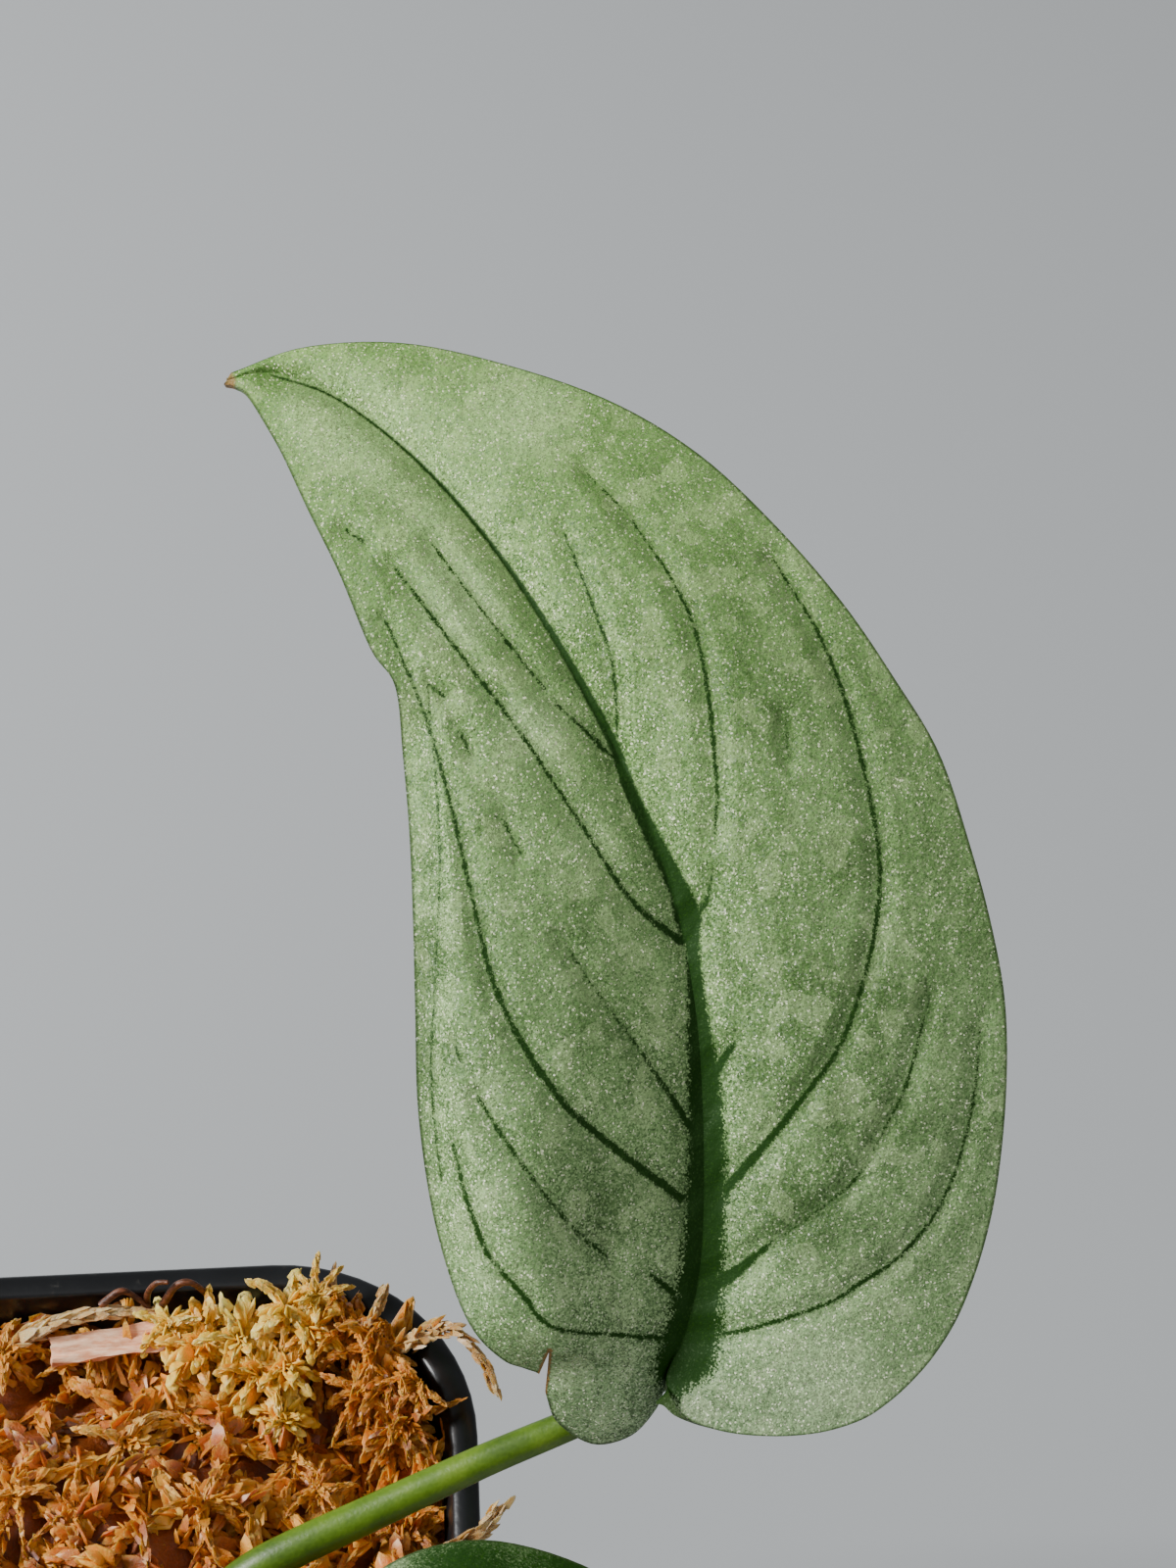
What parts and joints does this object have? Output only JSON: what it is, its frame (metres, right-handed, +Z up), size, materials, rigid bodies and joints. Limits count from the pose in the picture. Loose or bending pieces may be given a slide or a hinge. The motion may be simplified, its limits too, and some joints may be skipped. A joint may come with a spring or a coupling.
{
  "type": "potted scindapsus",
  "caption": "Young vining aroid with silvery green leaves on slender stalks, rooted in dried moss in a small square nursery pot.",
  "frame": {"origin": "centre of the pot's base, on the surface that it stands on", "axes": "+Z up, X and Y along the pot's sides, +X towards the side that the large leaf leans over"},
  "size_m": [0.1078, 0.1263, 0.1312],
  "materials": {
    "pot_plastic": "thin black moulded plastic, semi-gloss with fine scuffs",
    "moss_rust": "dried long-fibre sphagnum moss, rust orange to brown",
    "moss_gold": "dried long-fibre sphagnum moss, golden yellow",
    "stalk_green": "smooth waxy green stalk",
    "root_tan": "pale tan fleshy root",
    "leaf_silver": "satin silver-green leaf with dark green midrib and veins"
  },
  "bodies": {
    "root": {"pot": "pot_plastic", "moss_bed": "moss_rust", "moss_golden": "moss_gold", "stem": "stalk_green", "roots": "root_tan", "petiole_large": "stalk_green", "petiole_small": "stalk_green", "blade_large": "leaf_silver", "blade_small": "leaf_silver"}
  },
  "joints": []
}
